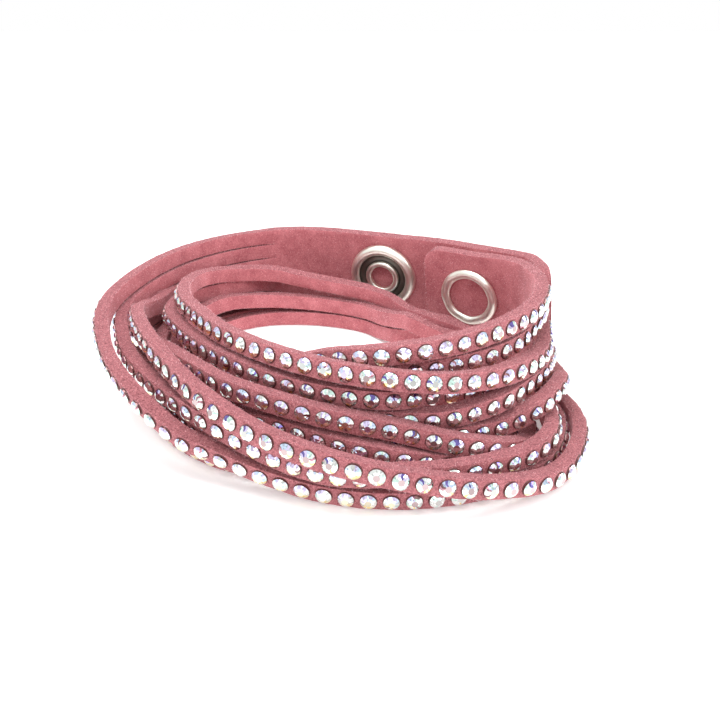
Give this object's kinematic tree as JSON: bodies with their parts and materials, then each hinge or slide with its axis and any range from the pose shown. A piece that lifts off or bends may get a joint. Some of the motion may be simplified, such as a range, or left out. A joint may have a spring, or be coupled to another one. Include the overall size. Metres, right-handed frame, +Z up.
{
  "type": "bracelet",
  "caption": "Suede strap slit into thin strands, each set with a row of small round crystals, wound twice into a wrist loop and closed by press snaps on whole end tabs.",
  "frame": {"origin": "middle of the bounding box, on the surface the bracelet lies on", "axes": "+Z up from that surface along the wrist hollow, +X to the viewer's right, -Y towards the viewer"},
  "size_m": [0.0684, 0.0677, 0.0168],
  "materials": {
    "suede": "dusty-rose suede with a short mottled nap",
    "crystal": "clear faceted glass with a foiled back and a rainbow coat",
    "nickel": "polished nickel plate"
  },
  "bodies": {
    "root": {"strap": "suede", "crystal_row_1": "crystal", "crystal_row_2": "crystal", "crystal_row_3": "crystal", "crystal_row_4": "crystal", "crystal_row_5": "crystal", "crystal_row_6": "crystal", "socket_1": "nickel", "socket_2": "nickel", "stud": "nickel", "ring_b": "nickel", "ring_1": "nickel", "ring_2": "nickel"}
  },
  "joints": []
}
